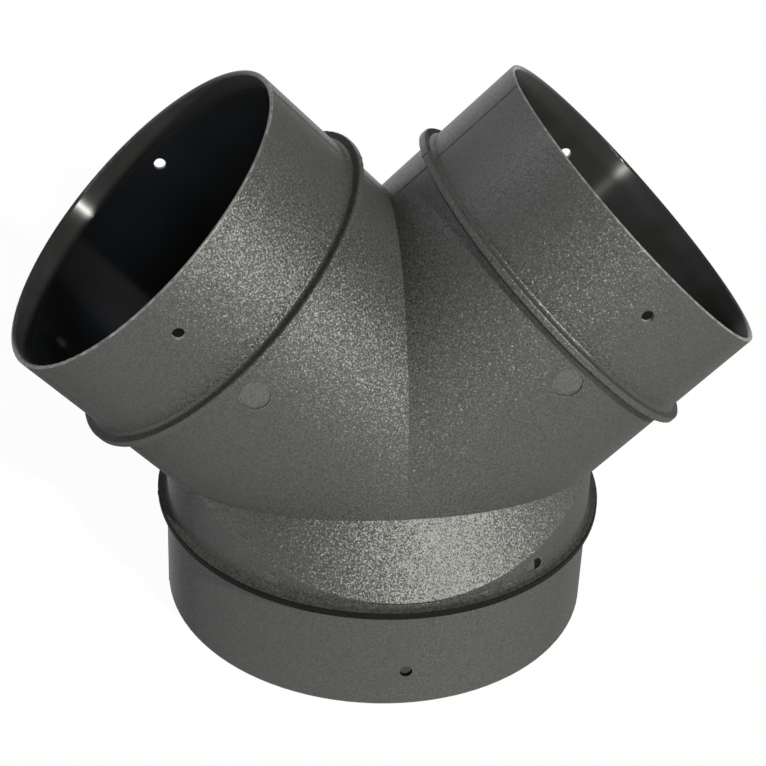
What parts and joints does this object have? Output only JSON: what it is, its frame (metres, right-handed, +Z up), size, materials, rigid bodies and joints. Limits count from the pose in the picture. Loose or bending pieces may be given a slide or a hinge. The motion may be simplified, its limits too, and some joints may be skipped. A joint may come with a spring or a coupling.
{
  "type": "duct y branch",
  "caption": "Moulded Y branch for air ducting: a wide round stem splits into narrower round branches at right angles, each spigot with a stop rib and screw holes.",
  "frame": {"origin": "centre of the stem's rim, on the surface that the part stands on", "axes": "+Z up the stem axis, +X along the plane of the two branches, front at -Y"},
  "size_m": [0.1508, 0.094, 0.1148],
  "materials": {
    "moulding": "black plastic, fine spark-eroded grain outside, smooth and glossy inside"
  },
  "bodies": {
    "root": {"y_branch": "moulding"}
  },
  "joints": []
}
